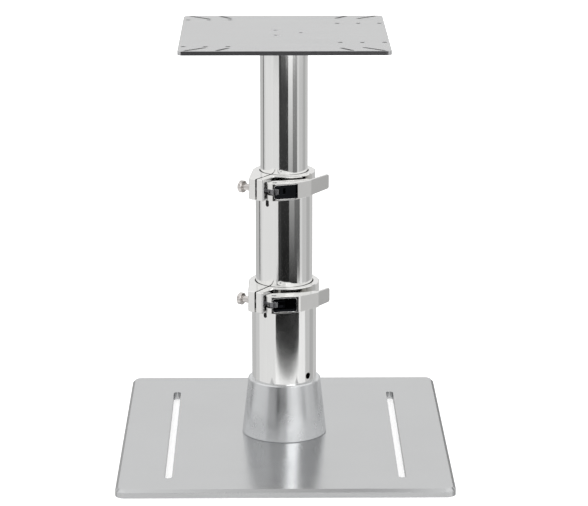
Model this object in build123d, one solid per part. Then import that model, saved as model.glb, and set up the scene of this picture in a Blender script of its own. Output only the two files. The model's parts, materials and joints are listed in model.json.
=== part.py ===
from build123d import *
import os
from math import acos, asin, atan2, cos, degrees, hypot, radians, sin

# Three-stage telescopic table pedestal. Millimetres, +Z up, +X to the right, the front is -Y.
# The origin is the centre of the floor plate's underside, on the axis of the column.

# Floor plate
PLATE_WIDTH = 400.0
PLATE_DEPTH = 440.0
PLATE_THICK = 10.0
PLATE_CORNER_RADIUS = 12.0
PLATE_EDGE_CHAMFER = 3.5
SLOT_SPACING = 278.0
SLOT_WIDTH = 9.0
SLOT_FRONT_MARGIN = 42.0
SLOT_REAR_MARGIN = 66.0

# Conical socket and the screws that come up into it through the floor plate
CONE_FOOT_WALL = 12.5
CONE_TOP_WALL = 4.5
CONE_HEIGHT = 70.5
CONE_RIM_CHAMFER = 1.2
CONE_FOOT_CHAMFER = 0.8
CONE_SCREW_COUNT = 6
CONE_SCREW_LENGTH = 24.0

# Tubes: each one's foot stands this far above what is under it when it is pushed right down,
# and leaves room for a bush to the wall of the next one out
OUTER_TUBE_DIAMETER = 80.0
OUTER_TUBE_WALL = 3.0
OUTER_TUBE_LENGTH = 192.0
BUSH_ROOM = 2.0
MIDDLE_TUBE_WALL = 4.0
MIDDLE_TUBE_LENGTH = 218.0
MIDDLE_RAISE = 113.0
INNER_TUBE_WALL = 3.0
INNER_TUBE_LENGTH = 222.0
INNER_RAISE = 162.5
TUBE_END_CHAMFER = 0.6

# Clamping slit with its round relief hole, and the drain hole above the cone
SLIT_AZIMUTH = 234.0
SLIT_WIDTH = 4.4
SLIT_DEPTH = 34.5
SLIT_RELIEF_DIAMETER = 5.0
DRAIN_DIAMETER = 8.0
DRAIN_AZIMUTH = 317.0
DRAIN_ABOVE_CONE = 8.5

# Plastic bushes in the tube mouths and guide rings on the tube feet
LOWER_BUSH_LENGTH = 50.0
UPPER_BUSH_LENGTH = 40.0
GUIDE_HEIGHT = 12.0
GUIDE_FOOT_MARGIN = 3.0
GUIDE_GROOVE_DEPTH = 0.9
GUIDE_SPLIT = 2.5
SLIDE_CLEARANCE = 0.08
GUIDE_CLEARANCE = 0.06
GUIDE_END_CLEARANCE = 0.1

# Head plug, table plate and its screws
PLUG_HEIGHT = 26.0
PLUG_BORE_DIAMETER = 14.0
TABLE_WIDTH = 248.0
TABLE_DEPTH = 254.0
TABLE_THICK = 5.0
TABLE_CORNER_RADIUS = 6.0
TABLE_EDGE_CHAMFER = 0.5
TABLE_SCREW_COUNT = 3
TABLE_SCREW_CIRCLE = 40.6
TABLE_SCREW_LENGTH = 20.0
TABLE_HOLE_DIAMETER = 6.0
TABLE_HOLE_COLUMNS = 3
TABLE_HOLE_EDGE = 6.0
TABLE_HOLE_PITCH = 26.0
LEFT_ROW_SPACING = 190.0
RIGHT_ROW_SPACING = 136.0
TABLE_SLOT_WIDTH = 5.0
CORNER_SLOT_LENGTH = 34.0
CORNER_SLOT_INSET_X = 20.0
CORNER_SLOT_INSET_Y = 14.0
CORNER_SLOT_ANGLE = 42.0
SIDE_SLOT_LENGTH = 24.0
SIDE_SLOT_INSET_X = 52.0
SIDE_SLOT_INSET_Y = 13.0
SIDE_SLOT_ANGLE = 52.0

# Countersunk M6 screws
SCREW_DIAMETER = 6.0
SCREW_HEAD_DIAMETER = 11.6
SCREW_HOLE_CLEARANCE = 0.3
HEX_KEY_ACROSS_FLATS = 4.0
HEX_KEY_DEPTH = 2.2

# Quick-release clamps: the same parts on two sizes of ring
RING_WALL = 3.2
RING_HEIGHT = 26.0
RING_LIP = 2.5
RING_LIP_CLEARANCE = 1.2
RING_EDGE_CHAMFER = 0.7
RING_GAP = 2.2
EAR_HALF_WIDTH = 10.5
EAR_REACH = 23.5
EAR_CORNER_RADIUS = 2.0
BOLT_OFFSET = 17.0
BOLT_DIAMETER = 6.0
BOLT_CLEARANCE = 0.35
BOLT_PROUD = 1.0
BOLT_EYE_DIAMETER = 12.5
BOLT_EYE_HEIGHT = 6.6
BOLT_EYE_CLEARANCE = 0.4
PIN_DIAMETER = 6.0
PIN_CLEARANCE = 0.05
PIN_INSET = 0.3
SADDLE_THICK = 2.0
SADDLE_WIDTH = 17.0
SADDLE_HEIGHT = 22.0
NUT_DISC_DIAMETER = 15.0
NUT_DISC_THICK = 5.5
NUT_NECK_DIAMETER = 8.0
NUT_NECK_LENGTH = 11.0
NUT_CHAMFER = 0.8
NUT_SEAT_CLEARANCE = 0.5
CAM_RADIUS = 9.0
CAM_THROW = 0.8
CAM_CLEARANCE = 0.3
LEVER_HEIGHT = 20.8
LEVER_TIP_HEIGHT = 17.5
LEVER_RING_CLEARANCE = 5.0
LEVER_KNEE_REACH = 23.0
LEVER_KNEE_AZIMUTH = -43.0
LEVER_KNEE_RADIUS = 12.0
LEVER_GRIP_REACH = 14.5
LEVER_GRIP_RADIUS = 3.0
LEVER_TAIL_REACH = 10.8
LEVER_TAIL_THICK = 3.2
LEVER_TAIL_RADIUS = 2.5
POCKET_LENGTH = 29.6
POCKET_START = -3.0
POCKET_RIM = 2.0
POCKET_DEPTH = 5.0
POCKET_RADIUS = 3.0
FORK_SLOT_LENGTH = 12.5
FORK_SLOT_DEPTH = 8.0
# What differs between the two: where the ring's gap is, how far the lever stands open, where
# its grip ends (both in degrees), and how far its tail goes on
LOWER_GAP_AZIMUTH = 238.0
UPPER_GAP_AZIMUTH = 236.5
LOWER_LEVER_OPEN = 4.0
UPPER_LEVER_OPEN = 0.0
LOWER_GRIP_END = -11.5
UPPER_GRIP_END = -16.5
LOWER_TAIL_END = 13.0
UPPER_TAIL_END = 25.0

# Sizes and places that follow from those above
MIDDLE_TUBE_DIAMETER = OUTER_TUBE_DIAMETER - 2 * OUTER_TUBE_WALL - 2 * BUSH_ROOM
INNER_TUBE_DIAMETER = MIDDLE_TUBE_DIAMETER - 2 * MIDDLE_TUBE_WALL - 2 * BUSH_ROOM
CONE_FOOT_DIAMETER = OUTER_TUBE_DIAMETER + 2 * CONE_FOOT_WALL
CONE_TOP_DIAMETER = OUTER_TUBE_DIAMETER + 2 * CONE_TOP_WALL
OUTER_TOP_Z = PLATE_THICK + OUTER_TUBE_LENGTH
MIDDLE_FOOT_Z = PLATE_THICK + MIDDLE_RAISE
MIDDLE_TOP_Z = MIDDLE_FOOT_Z + MIDDLE_TUBE_LENGTH
INNER_FOOT_Z = MIDDLE_FOOT_Z + INNER_RAISE
INNER_TOP_Z = INNER_FOOT_Z + INNER_TUBE_LENGTH
OUTER_BORE = OUTER_TUBE_DIAMETER / 2 - OUTER_TUBE_WALL
MIDDLE_BORE = MIDDLE_TUBE_DIAMETER / 2 - MIDDLE_TUBE_WALL
INNER_BORE = INNER_TUBE_DIAMETER / 2 - INNER_TUBE_WALL
CONE_SCREW_CIRCLE = (CONE_FOOT_DIAMETER + OUTER_TUBE_DIAMETER) / 2
PIVOT_X = EAR_HALF_WIDTH + SADDLE_THICK + CAM_CLEARANCE + CAM_RADIUS + CAM_THROW
NUT_OUTER_X = -EAR_HALF_WIDTH - NUT_NECK_LENGTH - NUT_DISC_THICK
UP_FROM_BASE = (Align.CENTER, Align.CENTER, Align.MIN)
REACH_PAST = 1.0


def turned(azimuth, distance, z=0.0):
    """A point at a distance from the column's axis, at an azimuth counted from +X."""
    return Vector(distance * cos(radians(azimuth)), distance * sin(radians(azimuth)), z)


def tube(outer_radius, inner_radius, length, foot_z):
    """A plain tube that stands on foot_z."""
    wall = Cylinder(outer_radius, length, align=UP_FROM_BASE)
    bore = Cylinder(inner_radius, length, align=UP_FROM_BASE)
    return Pos(0, 0, foot_z) * (wall - bore)


def slab(width, depth, thick, corner_radius):
    """A flat plate with rounded corners that stands on z = 0."""
    return extrude(RectangleRounded(width, depth, corner_radius), thick)


def wall_slit(azimuth, width, length, reach, foot_z):
    """A cutter for one wall of a tube, from the axis outwards."""
    cutter = Box(reach, width, length, align=(Align.MIN, Align.CENTER, Align.MIN))
    return Pos(0, 0, foot_z) * Rot(0, 0, azimuth) * cutter


def round_wall_hole(azimuth, diameter, reach, z):
    """A cutter for one round hole in the wall of a tube."""
    drill = Cylinder(diameter / 2, reach, align=UP_FROM_BASE)
    return Pos(0, 0, z) * Rot(0, 0, azimuth) * Rot(0, 90, 0) * drill


def clamping_slit(tube_diameter, top_z):
    """The slit that lets a tube mouth close under its clamp, down to a round relief hole."""
    foot_z = top_z - SLIT_DEPTH
    slit = wall_slit(SLIT_AZIMUTH, SLIT_WIDTH, SLIT_DEPTH + REACH_PAST, tube_diameter, foot_z)
    return slit + round_wall_hole(SLIT_AZIMUTH, SLIT_RELIEF_DIAMETER, tube_diameter, foot_z)


def screw(length):
    """A countersunk socket screw: its head's flat is at z = 0 and it points down."""
    head_height = (SCREW_HEAD_DIAMETER - SCREW_DIAMETER) / 2
    head = Cone(SCREW_DIAMETER / 2, SCREW_HEAD_DIAMETER / 2, head_height)
    shank = Cylinder(SCREW_DIAMETER / 2, length)
    key = extrude(RegularPolygon(HEX_KEY_ACROSS_FLATS / 2, 6, major_radius=False), -HEX_KEY_DEPTH)
    return Pos(0, 0, -head_height / 2) * head + Pos(0, 0, -length / 2) * shank - key


def screw_hole(depth):
    """The cutter for a countersunk clearance hole, from a face at z = 0 down."""
    hole_radius = SCREW_DIAMETER / 2 + SCREW_HOLE_CLEARANCE
    sink_height = SCREW_HEAD_DIAMETER / 2 - hole_radius
    sink = Cone(hole_radius, SCREW_HEAD_DIAMETER / 2, sink_height)
    hole = Cylinder(hole_radius, depth + REACH_PAST)
    return Pos(0, 0, -sink_height / 2) * sink + Pos(0, 0, -(depth + REACH_PAST) / 2) * hole


def around(circle, count, part):
    """Copies of a part on a circle about the column's axis."""
    return [loc * part for loc in PolarLocations(circle / 2, count)]


def flipped(part):
    """A part turned upside down about the X axis."""
    return Rot(180, 0, 0) * part


def tapped_hole(length):
    """The cutter for a tapped hole, from z = 0 down, at the size of the screw's thread."""
    return Pos(0, 0, -length / 2) * Cylinder(SCREW_DIAMETER / 2, length)


def base_plate():
    plate = slab(PLATE_WIDTH, PLATE_DEPTH, PLATE_THICK, PLATE_CORNER_RADIUS)
    plate = chamfer(plate.edges().group_by(Axis.Z)[-1], PLATE_EDGE_CHAMFER)
    slot_length = PLATE_DEPTH - SLOT_FRONT_MARGIN - SLOT_REAR_MARGIN
    slot_middle = (SLOT_FRONT_MARGIN - SLOT_REAR_MARGIN) / 2
    slot = extrude(SlotOverall(slot_length, SLOT_WIDTH, rotation=90), PLATE_THICK)
    for side in (-1, 1):
        plate -= Pos(side * SLOT_SPACING / 2, slot_middle, 0) * slot
    for hole in around(CONE_SCREW_CIRCLE, CONE_SCREW_COUNT, flipped(screw_hole(PLATE_THICK))):
        plate -= hole
    return plate


def base_cone():
    cone = Cone(CONE_FOOT_DIAMETER / 2, CONE_TOP_DIAMETER / 2, CONE_HEIGHT, align=UP_FROM_BASE)
    cone = chamfer(cone.edges().group_by(Axis.Z)[-1], CONE_RIM_CHAMFER)
    cone = chamfer(cone.edges().group_by(Axis.Z)[0], CONE_FOOT_CHAMFER)
    cone -= Cylinder(OUTER_TUBE_DIAMETER / 2, CONE_HEIGHT, align=UP_FROM_BASE)
    depth = CONE_SCREW_LENGTH - PLATE_THICK
    for hole in around(CONE_SCREW_CIRCLE, CONE_SCREW_COUNT, flipped(tapped_hole(depth))):
        cone -= hole
    return Pos(0, 0, PLATE_THICK) * cone


def cone_screws():
    return Compound(around(CONE_SCREW_CIRCLE, CONE_SCREW_COUNT, flipped(screw(CONE_SCREW_LENGTH))))


def ended_tube(diameter, wall, length, foot_z):
    """A tube with its outer end edges broken."""
    body = Cylinder(diameter / 2, length, align=UP_FROM_BASE)
    body = chamfer(body.edges(), TUBE_END_CHAMFER)
    body -= Cylinder(diameter / 2 - wall, length, align=UP_FROM_BASE)
    return Pos(0, 0, foot_z) * body


def outer_tube():
    body = ended_tube(OUTER_TUBE_DIAMETER, OUTER_TUBE_WALL, OUTER_TUBE_LENGTH, PLATE_THICK)
    drain_z = PLATE_THICK + CONE_HEIGHT + DRAIN_ABOVE_CONE
    body -= round_wall_hole(DRAIN_AZIMUTH, DRAIN_DIAMETER, OUTER_TUBE_DIAMETER, drain_z)
    return body - clamping_slit(OUTER_TUBE_DIAMETER, OUTER_TOP_Z)


def guide_groove(diameter, foot_z):
    """The groove near a tube's foot that its guide ring snaps into."""
    inner = diameter / 2 - GUIDE_GROOVE_DEPTH
    height = GUIDE_HEIGHT + 2 * GUIDE_END_CLEARANCE
    return tube(diameter, inner, height, foot_z + GUIDE_FOOT_MARGIN - GUIDE_END_CLEARANCE)


def guide_ring(diameter, bore, foot_z):
    """A split plastic ring in a tube's groove that runs in the bore of the next tube out."""
    inner = diameter / 2 - GUIDE_GROOVE_DEPTH + GUIDE_CLEARANCE
    ring = tube(bore - SLIDE_CLEARANCE, inner, GUIDE_HEIGHT, foot_z + GUIDE_FOOT_MARGIN)
    return ring - wall_slit(0, GUIDE_SPLIT, GUIDE_HEIGHT + GUIDE_FOOT_MARGIN, bore + REACH_PAST, foot_z)


def bush(bore, diameter, length, top_z):
    """A plastic liner in a tube's mouth for the next tube in, split opposite the mouth's slit."""
    liner = tube(bore, diameter / 2 + SLIDE_CLEARANCE, length, top_z - length)
    return liner - wall_slit(SLIT_AZIMUTH + 180, SLIT_WIDTH, length, bore + REACH_PAST, top_z - length)


def middle_tube():
    body = ended_tube(MIDDLE_TUBE_DIAMETER, MIDDLE_TUBE_WALL, MIDDLE_TUBE_LENGTH, MIDDLE_FOOT_Z)
    body -= guide_groove(MIDDLE_TUBE_DIAMETER, MIDDLE_FOOT_Z)
    return body - clamping_slit(MIDDLE_TUBE_DIAMETER, MIDDLE_TOP_Z)


def inner_tube():
    body = ended_tube(INNER_TUBE_DIAMETER, INNER_TUBE_WALL, INNER_TUBE_LENGTH, INNER_FOOT_Z)
    return body - guide_groove(INNER_TUBE_DIAMETER, INNER_FOOT_Z)


def head_plug():
    plug = tube(INNER_BORE, PLUG_BORE_DIAMETER / 2, PLUG_HEIGHT, INNER_TOP_Z - PLUG_HEIGHT)
    depth = TABLE_SCREW_LENGTH - TABLE_THICK
    for hole in around(TABLE_SCREW_CIRCLE, TABLE_SCREW_COUNT, tapped_hole(depth)):
        plug -= Pos(0, 0, INNER_TOP_Z) * hole
    return plug


def table_hole_places():
    """The small fixing holes: columns in from each side, on rows of their own left and right."""
    places = []
    for side, row_spacing in ((-1, LEFT_ROW_SPACING), (1, RIGHT_ROW_SPACING)):
        for column in range(TABLE_HOLE_COLUMNS):
            x = TABLE_WIDTH / 2 - TABLE_HOLE_EDGE - column * TABLE_HOLE_PITCH
            for end in (-1, 1):
                places.append(Pos(side * x, end * row_spacing / 2, 0))
    return places


def table_slots():
    """Two slanting slots near each corner, mirrored left to right and front to back."""
    slots = []
    kinds = (
        (CORNER_SLOT_LENGTH, CORNER_SLOT_INSET_X, CORNER_SLOT_INSET_Y, CORNER_SLOT_ANGLE),
        (SIDE_SLOT_LENGTH, SIDE_SLOT_INSET_X, SIDE_SLOT_INSET_Y, SIDE_SLOT_ANGLE),
    )
    for length, inset_x, inset_y, angle in kinds:
        for side in (-1, 1):
            for end in (-1, 1):
                x = side * (TABLE_WIDTH / 2 - inset_x)
                y = end * (TABLE_DEPTH / 2 - inset_y)
                outline = SlotOverall(length, TABLE_SLOT_WIDTH, rotation=side * end * angle)
                slots.append(Pos(x, y, 0) * extrude(outline, TABLE_THICK))
    return slots


def table_plate():
    plate = slab(TABLE_WIDTH, TABLE_DEPTH, TABLE_THICK, TABLE_CORNER_RADIUS)
    plate = chamfer(plate.edges().group_by(Axis.Z)[-1], TABLE_EDGE_CHAMFER)
    hole = Cylinder(TABLE_HOLE_DIAMETER / 2, TABLE_THICK, align=UP_FROM_BASE)
    for place in table_hole_places():
        plate -= place * hole
    for slot in table_slots():
        plate -= slot
    for sink in around(TABLE_SCREW_CIRCLE, TABLE_SCREW_COUNT, screw_hole(TABLE_THICK)):
        plate -= Pos(0, 0, TABLE_THICK) * sink
    return Pos(0, 0, INNER_TOP_Z) * plate


def table_screws():
    screws = around(TABLE_SCREW_CIRCLE, TABLE_SCREW_COUNT, screw(TABLE_SCREW_LENGTH))
    return Compound([Pos(0, 0, INNER_TOP_Z + TABLE_THICK) * one for one in screws])


# The clamp parts are drawn about the middle of the ring's height. The bolt runs along +X, from
# the nut to the lever, and the ring's gap faces -Y.


def clamp_ring(tube_radius, member_radius):
    """A split ring with a lip over the tube's end and two ears for the bolt."""
    radius = tube_radius + RING_WALL
    reach = radius + EAR_REACH
    corner = atan2(-reach, -EAR_HALF_WIDTH)
    touch = corner - acos(radius / hypot(reach, EAR_HALF_WIDTH))
    ears = Polyline(
        (EAR_HALF_WIDTH, 0),
        (EAR_HALF_WIDTH, -reach),
        (-EAR_HALF_WIDTH, -reach),
        (radius * cos(touch), radius * sin(touch)),
        (0, 0),
        close=True,
    )
    outline = make_face(ears)
    outline = fillet(outline.vertices().group_by(Axis.Y)[0], EAR_CORNER_RADIUS)
    body = extrude(Circle(radius) + outline, RING_HEIGHT / 2, both=True)
    rims = body.edges().group_by(Axis.Z)
    body = chamfer(rims[0] + rims[-1], RING_EDGE_CHAMFER)
    seat = RING_HEIGHT - RING_LIP
    body -= Pos(0, 0, -RING_HEIGHT / 2) * Cylinder(tube_radius, seat, align=UP_FROM_BASE)
    body -= Cylinder(member_radius + RING_LIP_CLEARANCE, RING_HEIGHT)
    body -= Box(RING_GAP, reach + REACH_PAST, RING_HEIGHT, align=(Align.CENTER, Align.MAX, Align.CENTER))
    bolt_y = -radius - BOLT_OFFSET
    bolt_hole = Rot(0, 90, 0) * Cylinder(BOLT_DIAMETER / 2 + BOLT_CLEARANCE, 2 * radius)
    body -= Pos(0, bolt_y, 0) * bolt_hole
    nut_seat = Cylinder(NUT_NECK_DIAMETER / 2 + NUT_SEAT_CLEARANCE, radius, align=UP_FROM_BASE)
    return body - Pos(-EAR_HALF_WIDTH, bolt_y, 0) * Rot(0, -90, 0) * nut_seat


def tension_bolt(bolt_y):
    """An eye bolt: the eye takes the cam pin and the shank runs through both ears to the nut."""
    length = PIVOT_X - NUT_OUTER_X + BOLT_PROUD
    eye = Cylinder(BOLT_EYE_DIAMETER / 2, BOLT_EYE_HEIGHT)
    shank = Rot(0, -90, 0) * Cylinder(BOLT_DIAMETER / 2, length, align=UP_FROM_BASE)
    pin_hole = Cylinder(PIN_DIAMETER / 2, BOLT_EYE_HEIGHT + REACH_PAST)
    return Pos(PIVOT_X, bolt_y, 0) * (eye + shank - pin_hole)


def cam_pin(bolt_y):
    return Pos(PIVOT_X, bolt_y, 0) * Cylinder(PIN_DIAMETER / 2, LEVER_HEIGHT - 2 * PIN_INSET)


def cam_saddle(bolt_y):
    """The flat wear plate between the cam and the ear."""
    plate = Box(SADDLE_THICK, SADDLE_WIDTH, SADDLE_HEIGHT, align=(Align.MIN, Align.CENTER, Align.CENTER))
    plate -= Rot(0, 90, 0) * Cylinder(BOLT_DIAMETER / 2 + BOLT_CLEARANCE, 2 * SADDLE_THICK + REACH_PAST)
    return Pos(EAR_HALF_WIDTH, bolt_y, 0) * plate


def adjusting_nut(bolt_y):
    """A round nut: a thin neck that bears on the ear and a disc that fingers turn."""
    neck = Cylinder(NUT_NECK_DIAMETER / 2, NUT_NECK_LENGTH, align=UP_FROM_BASE)
    disc = Cylinder(NUT_DISC_DIAMETER / 2, NUT_DISC_THICK, align=UP_FROM_BASE)
    disc = chamfer(disc.edges(), NUT_CHAMFER)
    nut = neck + Pos(0, 0, NUT_NECK_LENGTH) * disc
    nut -= Cylinder(BOLT_DIAMETER / 2 + PIN_CLEARANCE, 4 * NUT_NECK_LENGTH)
    return Pos(-EAR_HALF_WIDTH, bolt_y, 0) * Rot(0, -90, 0) * nut


class LeverPlan:
    """The lever seen from above, closed: cam, knee, grip and tail, about the column's axis."""

    def __init__(self, radius, bolt_y, grip_end, tail_end):
        self.inner = radius + LEVER_RING_CLEARANCE
        self.tail_x = radius + LEVER_TAIL_REACH
        self.tail_end = tail_end
        self.cam = Vector(PIVOT_X - CAM_THROW, bolt_y)
        self.pin = Vector(PIVOT_X, bolt_y)
        self.knee = turned(LEVER_KNEE_AZIMUTH, radius + LEVER_KNEE_REACH)
        self.grip = turned(grip_end, radius + LEVER_GRIP_REACH)
        self.grip_root = turned(grip_end, self.inner)
        reach = self.knee - self.cam
        half_turn = asin(CAM_RADIUS / reach.length)
        self.facing = degrees(atan2(reach.Y, reach.X) + half_turn)

    def outline(self):
        """The straight outer face touches the cam and ends at the knee."""
        bearing = atan2(self.cam.Y, self.cam.X)
        touch = bearing + acos((self.inner + CAM_RADIUS) / self.cam.length)
        inner_way = Vector(cos(touch), sin(touch))
        face_start = self.cam + turned(self.facing - 90, CAM_RADIUS)
        sides = Polyline(
            face_start,
            self.knee,
            self.grip,
            self.grip_root,
            inner_way * self.inner,
            self.cam - inner_way * CAM_RADIUS,
            close=True,
        )
        body = make_face(sides)
        body = fillet(body.vertices().sort_by_distance(self.knee)[0], LEVER_KNEE_RADIUS)
        body = fillet(body.vertices().sort_by_distance(self.grip)[0], LEVER_GRIP_RADIUS)
        body = body + Pos(self.cam.X, self.cam.Y) * Circle(CAM_RADIUS) - Circle(self.inner)
        tail_start = self.grip.Y - LEVER_TAIL_THICK
        length = self.tail_end - tail_start
        tail = Rectangle(LEVER_TAIL_THICK, length, align=(Align.MAX, Align.MIN))
        return body + Pos(self.tail_x, tail_start) * tail

    def face_y(self):
        """The place of the straight outer face, measured from the pin across the lever."""
        return (self.cam - self.pin).dot(turned(self.facing + 90, 1)) - CAM_RADIUS

    def tip_x(self):
        """The length of the lever from the pin to the tail's end, along facing."""
        return (Vector(self.tail_x, self.tail_end) - self.pin).dot(turned(self.facing, 1))


def lever_side(tip_x):
    """The lever's outline from its outer side: it tapers to a tail with rounded corners."""
    back = -CAM_RADIUS - CAM_THROW
    outline = make_face(
        Polyline(
            (2 * back, -LEVER_HEIGHT / 2),
            (-back, -LEVER_HEIGHT / 2),
            (tip_x, -LEVER_TIP_HEIGHT / 2),
            (tip_x, LEVER_TIP_HEIGHT / 2),
            (-back, LEVER_HEIGHT / 2),
            (2 * back, LEVER_HEIGHT / 2),
            close=True,
        )
    )
    outline = fillet(outline.vertices().group_by(Axis.X)[-1], LEVER_TAIL_RADIUS)
    return extrude(Plane.XZ * outline, tip_x, both=True)


def lever_pocket(face_y):
    """The recess in the outer face that the bolt's eye shows in."""
    opening = RectangleRounded(POCKET_LENGTH, LEVER_HEIGHT - 2 * POCKET_RIM, POCKET_RADIUS)
    cutter = extrude(Plane.XZ * opening, CAM_RADIUS)
    return Pos(POCKET_START + POCKET_LENGTH / 2, face_y + POCKET_DEPTH, 0) * cutter


def fork_slot():
    """The slot between the two cams, for the bolt's eye and the swing of its shank."""
    height = BOLT_EYE_HEIGHT + 2 * BOLT_EYE_CLEARANCE
    eye_room = BOLT_EYE_DIAMETER / 2 + BOLT_EYE_CLEARANCE
    eye = Cylinder(eye_room, height)
    swing = Box(2 * LEVER_HEIGHT, 2 * LEVER_HEIGHT, height, align=(Align.MAX, Align.CENTER, Align.CENTER))
    recess = Box(FORK_SLOT_LENGTH, FORK_SLOT_DEPTH, height, align=(Align.MIN, Align.MIN, Align.CENTER))
    recess = Pos(0, -eye_room, 0) * recess
    return eye + recess + Pos(BOLT_DIAMETER / 2 + BOLT_EYE_CLEARANCE, 0, 0) * swing


def cam_lever(plan, lever_open):
    """The forked cam lever that goes round the ring."""
    frame = Pos(plan.pin.X, plan.pin.Y, 0) * Rot(0, 0, plan.facing)
    body = extrude(plan.outline(), LEVER_HEIGHT / 2, both=True)
    body = frame.inverse() * body
    body &= lever_side(plan.tip_x())
    body -= lever_pocket(plan.face_y())
    body -= fork_slot()
    body -= Cylinder(PIN_DIAMETER / 2 + PIN_CLEARANCE, LEVER_HEIGHT + REACH_PAST)
    return frame * Rot(0, 0, -lever_open) * body


def clamp(stage, tube_diameter, member_diameter, tube_top_z, gap_azimuth, lever_open, grip_end, tail_end):
    """All the parts of one quick-release clamp, by node name, in place on its tube."""
    radius = tube_diameter / 2 + RING_WALL
    bolt_y = -radius - BOLT_OFFSET
    middle_z = tube_top_z + RING_LIP - RING_HEIGHT / 2
    place = Pos(0, 0, middle_z) * Rot(0, 0, gap_azimuth + 90)
    pieces = {
        "clamp_ring": clamp_ring(tube_diameter / 2, member_diameter / 2),
        "tension_bolt": tension_bolt(bolt_y),
        "cam_pin": cam_pin(bolt_y),
        "cam_saddle": cam_saddle(bolt_y),
        "adjusting_nut": adjusting_nut(bolt_y),
        "cam_lever": cam_lever(LeverPlan(radius, bolt_y, grip_end, tail_end), lever_open),
    }
    return {f"{stage}_{name}": place * piece for name, piece in pieces.items()}


parts = {
    "base_plate": base_plate(),
    "base_cone": base_cone(),
    "cone_screws": cone_screws(),
    "outer_tube": outer_tube(),
    "lower_bush": bush(OUTER_BORE, MIDDLE_TUBE_DIAMETER, LOWER_BUSH_LENGTH, OUTER_TOP_Z),
    "middle_guide_ring": guide_ring(MIDDLE_TUBE_DIAMETER, OUTER_BORE, MIDDLE_FOOT_Z),
    "middle_tube": middle_tube(),
    "upper_bush": bush(MIDDLE_BORE, INNER_TUBE_DIAMETER, UPPER_BUSH_LENGTH, MIDDLE_TOP_Z),
    "inner_guide_ring": guide_ring(INNER_TUBE_DIAMETER, MIDDLE_BORE, INNER_FOOT_Z),
    "inner_tube": inner_tube(),
    "head_plug": head_plug(),
    "table_plate": table_plate(),
    "table_screws": table_screws(),
}
parts |= clamp(
    "lower",
    OUTER_TUBE_DIAMETER,
    MIDDLE_TUBE_DIAMETER,
    OUTER_TOP_Z,
    LOWER_GAP_AZIMUTH,
    LOWER_LEVER_OPEN,
    LOWER_GRIP_END,
    LOWER_TAIL_END,
)
parts |= clamp(
    "upper",
    MIDDLE_TUBE_DIAMETER,
    INNER_TUBE_DIAMETER,
    MIDDLE_TOP_Z,
    UPPER_GAP_AZIMUTH,
    UPPER_LEVER_OPEN,
    UPPER_GRIP_END,
    UPPER_TAIL_END,
)

os.makedirs("parts", exist_ok=True)
for name, shape in parts.items():
    export_step(shape, f"parts/{name}.step")
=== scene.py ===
import json
from math import cos, radians, sin, sqrt

import bpy
from mathutils import Matrix, Vector

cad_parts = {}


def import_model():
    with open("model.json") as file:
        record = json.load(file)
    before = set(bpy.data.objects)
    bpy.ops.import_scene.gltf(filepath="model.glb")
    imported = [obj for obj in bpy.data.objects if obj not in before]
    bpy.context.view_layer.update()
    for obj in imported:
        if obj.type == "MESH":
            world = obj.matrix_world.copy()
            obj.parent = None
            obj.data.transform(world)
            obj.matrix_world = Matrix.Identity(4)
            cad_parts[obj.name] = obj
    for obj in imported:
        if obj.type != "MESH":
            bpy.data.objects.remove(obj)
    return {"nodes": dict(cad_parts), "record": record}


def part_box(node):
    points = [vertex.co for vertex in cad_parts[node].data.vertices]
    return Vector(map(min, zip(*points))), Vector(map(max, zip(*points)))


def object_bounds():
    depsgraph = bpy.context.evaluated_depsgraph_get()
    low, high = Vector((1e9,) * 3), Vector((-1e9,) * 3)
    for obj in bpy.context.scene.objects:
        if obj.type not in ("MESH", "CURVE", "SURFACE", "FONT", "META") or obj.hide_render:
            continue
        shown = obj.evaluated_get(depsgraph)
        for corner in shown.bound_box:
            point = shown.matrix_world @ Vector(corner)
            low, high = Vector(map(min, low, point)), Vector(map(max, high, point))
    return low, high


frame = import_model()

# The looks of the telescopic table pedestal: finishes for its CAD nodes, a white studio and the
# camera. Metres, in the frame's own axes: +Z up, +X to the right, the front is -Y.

CAD_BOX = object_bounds()

# Camera: far off, in front and a little above, with a long lens
CAMERA_PLACE = Vector((-0.0207, -2.9892, 1.0217))
CAMERA_TURN = radians(0.63)
CAMERA_DOWN = radians(14.68)
CAMERA_LENS = 153.8

# Studio: the floor paper, which glows so that it stays white in the shade, and an even white room
FLOOR_HALF_WIDTH = 12.0
FLOOR_GAP = 0.0004
FLOOR_COLOUR = (0.98, 0.98, 0.98, 1.0)
FLOOR_ROUGHNESS = 0.8
FLOOR_GLOW = 0.45
ROOM_LEVEL = 1.07

# Studio cards, which only polished metal shows. They stand round the object between the heights
# that each kind of surface mirrors: the upright tubes, the cone, the cone's image in the floor
# plate, and the level tops. BEHIND is the bearings between which the level tops mirror them.
CARD_DISTANCE = 6.0
CARD_STEP = 1.0
ROOM_FOOT = -3.0
BAND_FOOT = -1.787
BAND_ARCH = 0.15
BAND_SPLIT = -1.42
TUBE_ZONE_TOP = -0.56
CONE_ZONE_TOP = 0.6
MIRROR_ZONE = (2.0, 4.6)
BACK_ZONE = (0.6, 1.64)
BACK_HIGH_ZONE = (1.64, 4.6)
BEHIND = (134, 226)
OVERHEAD_HEIGHT = 1.2
OVERHEAD_BOX = ((-0.24, -1.30), (0.22, -0.10))
OVERHEAD_LEVELS = (1.0, 0.30)

# Finishes
METAL = 1.0
NOT_METAL = 0.0
MICRON = 0.000001
NOISE_SPAN = (0.3, 0.7)

# Edges: how far a worn or rounded edge reaches into the faces beside it, and the cosines of the
# rounded face's lean between which it fades out
EDGE_WIDTH = 0.0005
EDGE_SAMPLES = 6
EDGE_SPAN = (0.88, 0.99)

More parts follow.
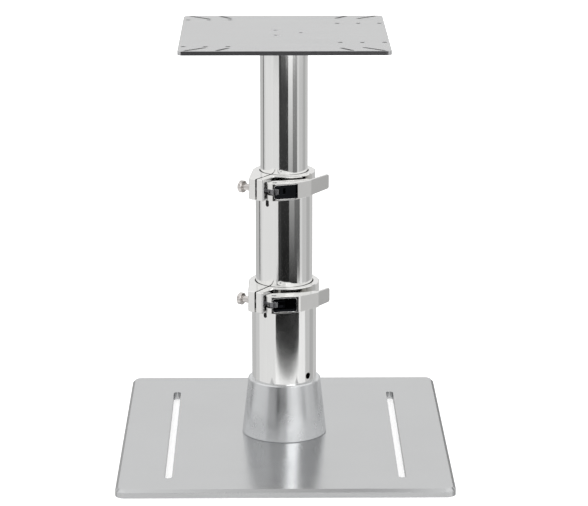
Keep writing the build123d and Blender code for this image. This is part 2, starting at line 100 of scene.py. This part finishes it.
# The recess in each lever's outer face, painted near black as painted shade: the way the lever points, in
# degrees from +X about +Z, and the recess's middle from the pin and half its size along that way
LEVER_FACING = {"lower": 10.61, "upper": 16.65}
POCKET_MIDDLE = Vector((0.0118, -0.0031, 0.0))
POCKET_HALF = (0.0151, 0.0049, 0.0087)
# Painted shade: the near-black colour painted into each lever's recess
POCKET_SHADE_COLOUR = (0.020, 0.022, 0.025, 1.0)

# The table plate's edge faces, painted dark as a painted reflection: how far in it reaches, and its colour
TABLE_EDGE_REFLECTION_DEPTH = 0.0003
TABLE_EDGE_REFLECTION_COLOUR = (0.16, 0.16, 0.165, 1.0)

# Where a box that bounds a finish fades out, as a share of half its size
BOX_FADE = (0.999, 1.0)


def grey(level):
    """An opaque neutral colour."""
    return (level, level, level, 1.0)


class Finish:
    """A Principled material that is put together node by node, in the frame's coordinates."""

    def __init__(self, name, colour, metallic, roughness):
        self.material = bpy.data.materials.new(name)
        self.material.use_nodes = True
        self.tree = self.material.node_tree
        self.shader = self.tree.nodes["Principled BSDF"]
        self.colour = colour
        self.put("Base Color", colour)
        self.put("Metallic", metallic)
        self.put("Roughness", roughness)
        self.normal = None
        self.place = self.node("ShaderNodeTexCoord").outputs["Object"]

    def put(self, socket, value):
        """Sets a value that is the same all over the surface on the shader itself."""
        self.shader.inputs[socket].default_value = value

    def node(self, kind, settings=None, **inputs):
        """A new node; an input is a value or another node's output."""
        made = self.tree.nodes.new(kind)
        for key, value in (settings or {}).items():
            setattr(made, key, value)
        for key, value in inputs.items():
            self.feed(made, key, value)
        return made

    def feed(self, node, key, value):
        """Gives a node's input a value or links it, by name or number."""
        socket = node.inputs[int(key[1:])] if key[0] == "i" and key[1:].isdigit() else node.inputs[key]
        if isinstance(value, bpy.types.NodeSocket):
            self.tree.links.new(value, socket)
        else:
            socket.default_value = value

    def maths(self, operation, first, second):
        """The result of one operation on two values."""
        return self.node("ShaderNodeMath", {"operation": operation}, i0=first, i1=second).outputs[0]

    def grain(self, scale, detail=4.0, stretch=(1.0, 1.0, 1.0)):
        """Noise with so many features to the metre; stretch below 1 draws them out along an axis."""
        place = self.node("ShaderNodeMapping", Vector=self.place, Scale=stretch).outputs[0]
        return self.node("ShaderNodeTexNoise", Vector=place, Scale=scale, Detail=detail).outputs[0]

    def spread(self, value, low, high, span=NOISE_SPAN):
        """A 0 to 1 pattern brought to run from low to high."""
        inputs = {"Value": value, "From Min": span[0], "From Max": span[1], "To Min": low, "To Max": high}
        return self.node("ShaderNodeMapRange", None, **inputs).outputs[0]

    def edge(self):
        """1 along the part's edges and 0 on its faces."""
        bevel = self.node("ShaderNodeBevel", {"samples": EDGE_SAMPLES}, Radius=EDGE_WIDTH)
        flat = self.node("ShaderNodeNewGeometry").outputs["Normal"]
        dot = self.node("ShaderNodeVectorMath", {"operation": "DOT_PRODUCT"}, i0=bevel.outputs[0], i1=flat)
        self.normal = bevel.outputs[0]
        return self.spread(dot.outputs["Value"], 1.0, 0.0, EDGE_SPAN)

    def inside_box(self, middle, half, turn):
        """1 within a box turned about Z and 0 outside it."""
        inputs = {"Vector": self.place, "Location": middle, "Rotation": (0.0, 0.0, turn), "Scale": half}
        local = self.node("ShaderNodeMapping", {"vector_type": "TEXTURE"}, **inputs).outputs[0]
        size = self.node("ShaderNodeVectorMath", {"operation": "ABSOLUTE"}, i0=local).outputs[0]
        sides = self.node("ShaderNodeSeparateXYZ", Vector=size).outputs
        widest = self.maths("MAXIMUM", self.maths("MAXIMUM", sides[0], sides[1]), sides[2])
        return self.spread(widest, 1.0, 0.0, BOX_FADE)

    def tint(self, pattern, other, share=1.0):
        """Blends the base colour towards another, by that share where the pattern is 1."""
        if share < 1.0:
            pattern = self.maths("MULTIPLY", pattern, share)
        mix = self.node("ShaderNodeMix", {"data_type": "RGBA"}, i0=pattern, i6=self.colour_now(), i7=other)
        self.tree.links.new(mix.outputs[2], self.shader.inputs["Base Color"])

    def colour_now(self):
        """What feeds the base colour at this point."""
        links = self.shader.inputs["Base Color"].links
        return links[0].from_socket if links else self.colour

    def rough(self, pattern, low, high):
        """Roughness that follows a pattern."""
        self.tree.links.new(self.spread(pattern, low, high), self.shader.inputs["Roughness"])

    def bump(self, height, depth):
        """Relief of that depth, on top of the relief there is so far."""
        inputs = {"Height": height, "Distance": depth, "Strength": 1.0}
        if self.normal:
            inputs["Normal"] = self.normal
        self.normal = self.node("ShaderNodeBump", None, **inputs).outputs[0]

    def done(self):
        """The material, with its relief joined to the shader."""
        if self.normal:
            self.tree.links.new(self.normal, self.shader.inputs["Normal"])
        return self.material


def satin_plate(name, colour, roughness, edge_reflection_box=None):
    """Rolled, satin anodised plate: a fine matt grain, faint rolling marks and bright edges.
    Outside the box given last, a middle and half a size, its edge faces get a painted dark reflection."""
    finish = Finish(name, colour, METAL, roughness)
    edge = finish.edge()
    marks = finish.grain(90.0, 6.0, (0.12, 1.0, 1.0))
    finish.tint(finish.spread(finish.grain(9.0), 0.0, 0.10), grey(0.45))
    finish.tint(edge, grey(0.75), 0.5)
    finish.rough(marks, roughness - 0.01, roughness + 0.03)
    finish.bump(finish.grain(1500.0, 3.0), MICRON)
    if edge_reflection_box:
        # Painted reflection: the edge faces outside the box are tinted dark
        faces = finish.inside_box(*edge_reflection_box, turn=0.0)
        finish.tint(finish.maths("SUBTRACT", 1.0, faces), TABLE_EDGE_REFLECTION_COLOUR)
    return finish.done()


def drawn_tube():
    """Drawn, polished and anodised tube: fine lines along it and a few cloudy patches."""
    finish = Finish("tube_aluminium", (0.875, 0.875, 0.865, 1.0), METAL, 0.06)
    edge = finish.edge()
    finish.tint(finish.spread(finish.grain(14.0, 5.0), 0.0, 0.12), grey(0.7))
    finish.tint(finish.spread(finish.grain(700.0, 4.0, (1.0, 1.0, 0.006)), 0.0, 0.14), grey(0.6))
    finish.tint(edge, grey(0.95), 0.4)
    finish.rough(finish.grain(30.0, 6.0), 0.045, 0.085)
    finish.bump(finish.grain(420.0, 4.0, (1.0, 1.0, 0.004)), 4 * MICRON)
    finish.bump(finish.grain(900.0, 2.0, (0.02, 0.02, 1.0)), 0.3 * MICRON)
    return finish.done()


def turned_cone():
    """Satin turned aluminium: faint rings round the axis under a matt skin."""
    finish = Finish("cone_aluminium", (0.70, 0.71, 0.72, 1.0), METAL, 0.24)
    edge = finish.edge()
    rings = finish.grain(700.0, 1.0, (0.0, 0.0, 1.0))
    finish.tint(finish.spread(rings, 0.0, 0.10), grey(0.5))
    finish.tint(edge, grey(0.85))
    finish.rough(finish.grain(40.0, 5.0), 0.20, 0.29)
    finish.bump(finish.grain(450.0, 3.0), 2 * MICRON)
    return finish.done()


def polished(name, colour, roughness, wave, wave_depth, pocket=None):
    """Polished casting or turned part: slow waves from the buffing wheel, hairlines, bright edges.
    A pocket is a box whose inside gets painted shade, near black: its middle, half its size and its turn
    about Z."""
    finish = Finish(name, colour, METAL, roughness)
    edge = finish.edge()
    finish.tint(edge, grey(0.95), 0.6)
    finish.tint(finish.spread(finish.grain(45.0, 5.0), 0.0, 0.12), grey(0.55))
    finish.rough(finish.grain(120.0, 6.0, (0.3, 1.0, 1.0)), roughness * 0.6, roughness * 1.7)
    finish.bump(finish.grain(wave, 2.0), wave_depth)
    finish.bump(finish.grain(1400.0, 2.0, (0.03, 0.03, 1.0)), MICRON)
    if pocket:
        # Painted shade: near black inside the pocket's box
        finish.tint(finish.inside_box(*pocket), POCKET_SHADE_COLOUR)
    return finish.done()


def moulded_plastic():
    """Black moulded plastic with a fine spark-eroded grain."""
    finish = Finish("bush_plastic", grey(0.012), NOT_METAL, 0.45)
    finish.tint(finish.edge(), grey(0.05))
    finish.rough(finish.grain(200.0, 5.0), 0.36, 0.56)
    finish.bump(finish.grain(1100.0, 3.0), 12 * MICRON)
    return finish.done()


def emitter(name, foot_level, top_level, foot, top, axis="Z"):
    """A glow for a studio card that runs from one level to another between two places on an axis."""
    material = bpy.data.materials.new(name)
    material.use_nodes = True
    tree = material.node_tree
    tree.nodes.remove(tree.nodes["Principled BSDF"])
    place = tree.nodes.new("ShaderNodeSeparateXYZ")
    tree.links.new(tree.nodes.new("ShaderNodeTexCoord").outputs["Object"], place.inputs[0])
    level = tree.nodes.new("ShaderNodeMapRange")
    span = {"From Min": foot, "From Max": top, "To Min": foot_level, "To Max": top_level}
    for key, value in span.items():
        level.inputs[key].default_value = value
    tree.links.new(place.outputs[axis], level.inputs["Value"])
    glow = tree.nodes.new("ShaderNodeEmission")
    tree.links.new(level.outputs[0], glow.inputs["Strength"])
    tree.links.new(glow.outputs[0], tree.nodes["Material Output"].inputs["Surface"])
    return material


def mesh_object(name, points, faces, material):
    """A piece of the studio, which isn't part of the object."""
    mesh = bpy.data.meshes.new(name)
    mesh.from_pydata(points, [], faces)
    mesh.materials.append(material)
    made = bpy.data.objects.new(name, mesh)
    bpy.context.scene.collection.objects.link(made)
    return made


def reflected_only(card):
    """The card shows in polished metal and nowhere else."""
    card.visible_camera = False
    card.visible_diffuse = False
    card.visible_transmission = False
    card.visible_volume_scatter = False
    card.visible_shadow = False


def card(name, start, end, foot, top, foot_level, top_level=None, arch=0.0):
    """A curved card round the object between two bearings, in degrees from the front to the right,
    and two heights. It glows from one level at its foot to another at its top. With an arch its foot
    is half an ellipse that rises by that much to both ends."""
    steps = max(2, round((end - start) / CARD_STEP))
    points = []
    for step in range(steps + 1):
        share = step / steps
        bearing = radians(start + (end - start) * share)
        x = CARD_DISTANCE * sin(bearing)
        y = -CARD_DISTANCE * cos(bearing)
        lift = arch * (1 - sqrt(1 - (2 * share - 1) ** 2))
        points += [(x, y, foot + lift), (x, y, top)]
    faces = [(2 * i, 2 * i + 1, 2 * i + 3, 2 * i + 2) for i in range(steps)]
    glow = emitter(name, foot_level, foot_level if top_level is None else top_level, foot, top)
    reflected_only(mesh_object(name, points, faces, glow))


def floor():
    """White paper just below the object, which the metal doesn't mirror."""
    half = FLOOR_HALF_WIDTH
    z = CAD_BOX[0].z - FLOOR_GAP
    points = [(-half, -half, z), (half, -half, z), (half, half, z), (-half, half, z)]
    finish = Finish("floor_paper", FLOOR_COLOUR, NOT_METAL, FLOOR_ROUGHNESS)
    finish.bump(finish.grain(400.0, 3.0), 20 * MICRON)
    finish.put("Emission Color", grey(1.0))
    finish.put("Emission Strength", FLOOR_GLOW)
    made = mesh_object("floor", points, [(0, 1, 2, 3)], finish.done())
    made.visible_glossy = False


def world():
    """An even white room."""
    made = bpy.data.worlds.new("studio")
    made.use_nodes = True
    background = made.node_tree.nodes["Background"]
    background.inputs["Color"].default_value = grey(1.0)
    background.inputs["Strength"].default_value = ROOM_LEVEL
    bpy.context.scene.world = made
    bpy.context.scene.view_settings.view_transform = "Standard"


def tube_cards():
    """What upright faces show: white screens left and right, and the dark room between them."""
    zone = (ROOM_FOOT, TUBE_ZONE_TOP)
    upper_band = (BAND_SPLIT, TUBE_ZONE_TOP)
    lower = (ROOM_FOOT, BAND_SPLIT)
    card("tube_back_left", -180, -121, *zone, 0.56)
    card("tube_left_line", -121, -112, *upper_band, 0.20)
    card("tube_left_side_low", -121, -100, *lower, 0.66)
    card("tube_left_side", -112, -100, *upper_band, 0.74)
    card("tube_left_low", -100, -31, *lower, 0.83)
    card("tube_left", -100, -24, *upper_band, 0.83)
    card("tube_band_low", -31, 54, BAND_FOOT, BAND_SPLIT, 0.010, 0.016, arch=BAND_ARCH)
    card("tube_band_edge", -24, -12, *upper_band, 0.05)
    card("tube_band", -12, 20, *upper_band, 0.012, 0.07)
    card("tube_streak", 20, 42, *upper_band, 0.02, 0.95)
    card("tube_band_right", 42, 66, *upper_band, 0.07, 0.34)
    card("tube_right_low", 54, 78, *lower, 0.95)
    card("tube_right", 66, 78, *upper_band, 0.72)
    card("tube_right_side", 78, 102, *zone, 0.60)
    card("tube_right_line", 102, 125, *zone, 0.47)
    card("tube_back_right", 125, 180, *zone, 0.60)


def cone_cards():
    """What the sloping side of the cone shows."""
    zone = (TUBE_ZONE_TOP, CONE_ZONE_TOP)
    card("cone_back_left", -180, -130, *zone, 0.45)
    card("cone_left", -130, -50, *zone, 0.72)
    card("cone_band", -50, -14, *zone, 0.08)
    card("cone_band_end", -14, 8, *zone, 0.42)
    card("cone_front", 8, 54, *zone, 1.35)
    card("cone_right", 54, 110, *zone, 0.82)
    card("cone_back_right", 110, 180, *zone, 0.24)


def mirror_cards():
    """What the cone's image in the floor plate shows, higher up."""
    card("mirror_left", -134, -43, *MIRROR_ZONE, 0.62)
    card("mirror_band", -43, 6, *MIRROR_ZONE, 0.38)
    card("mirror_front", 8, 40, *MIRROR_ZONE, 2.6)
    card("mirror_right", 40, 134, *MIRROR_ZONE, 0.42)


def back_cards():
    """What level tops show from the front: the table plate and the rings low, the floor plate high."""
    card("back", *BEHIND, *BACK_ZONE, 0.84, 0.78)
    card("back_high", *BEHIND, *BACK_HIGH_ZONE, 0.89)


def overhead_card():
    """What the bevel along the floor plate's front edge shows: brighter on the left."""
    (left, front), (right, back) = OVERHEAD_BOX
    z = OVERHEAD_HEIGHT
    points = [(left, front, z), (right, front, z), (right, back, z), (left, back, z)]
    glow = emitter("overhead", *OVERHEAD_LEVELS, left, right, "X")
    reflected_only(mesh_object("overhead", points, [(0, 1, 2, 3)], glow))


def camera():
    """The camera, aimed by how far it looks down and how far it is turned to the right."""
    data = bpy.data.cameras.new("camera")
    data.lens = CAMERA_LENS
    made = bpy.data.objects.new("camera", data)
    made.location = CAMERA_PLACE
    made.rotation_euler = (radians(90) - CAMERA_DOWN, 0.0, -CAMERA_TURN)
    bpy.context.scene.collection.objects.link(made)
    bpy.context.scene.camera = made


def table_faces():
    """The box inside the table plate's painted dark edge reflection, as its middle and half its size."""
    low, high = (Vector(corner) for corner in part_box("table_plate"))
    half = (high - low) / 2
    return (low + high) / 2, (half.x - TABLE_EDGE_REFLECTION_DEPTH, half.y - TABLE_EDGE_REFLECTION_DEPTH, 2 * half.z)


def clamp_finish(name, pocket=None):
    """Bright chrome, as on the rings, the cams' pins and the levers."""
    return polished(name, (0.85, 0.845, 0.83, 1.0), 0.07, 90.0, 30 * MICRON, pocket)


def finishes():
    """Each material slot of the record and its finish."""
    return {
        "plate_aluminium": satin_plate("plate_aluminium", (0.60, 0.605, 0.61, 1.0), 0.20),
        "table_aluminium": satin_plate(
            "table_aluminium", (0.585, 0.587, 0.59, 1.0), 0.24, table_faces()
        ),
        "cone_aluminium": turned_cone(),
        "tube_aluminium": drawn_tube(),
        "clamp_chrome": clamp_finish("clamp_chrome"),
        "bolt_steel": polished("bolt_steel", (0.20, 0.20, 0.21, 1.0), 0.16, 200.0, 10 * MICRON),
        "nut_steel": polished("nut_steel", (0.62, 0.59, 0.57, 1.0), 0.12, 200.0, 10 * MICRON),
        "screw_steel": polished("screw_steel", (0.55, 0.55, 0.56, 1.0), 0.22, 300.0, 10 * MICRON),
        "saddle_steel": polished("saddle_steel", (0.60, 0.60, 0.60, 1.0), 0.25, 300.0, 10 * MICRON),
        "bush_plastic": moulded_plastic(),
    }


def dress_nodes():
    """Gives every CAD node the finish that the record names for it."""
    made = finishes()
    for subpart in frame["record"]["subparts"]:
        node = frame["nodes"][subpart["node"]]
        node.data.materials.clear()
        node.data.materials.append(made[subpart["material_slot"]])


def paint_pocket_shade():
    """The levers share the clamp's finish, but for the painted shade, near black, in their pockets."""
    for joint in frame["record"]["behaviour"]["joints"]:
        stage = joint["name"].split("_")[0]
        if joint["name"] == f"{stage}_lever_hinge":
            facing = radians(LEVER_FACING[stage])
            middle = Vector(joint["pos_m"]) + Matrix.Rotation(facing, 3, "Z") @ POCKET_MIDDLE
            # Each lever gets its own copy of the clamp finish, with painted shade in its pocket
            finish = clamp_finish(f"{stage}_lever_chrome_pocket_shade", (middle, POCKET_HALF, facing))
            frame["nodes"][f"{stage}_cam_lever"].data.materials[0] = finish


world()
floor()
tube_cards()
cone_cards()
mirror_cards()
back_cards()
overhead_card()
dress_nodes()
paint_pocket_shade()
camera()
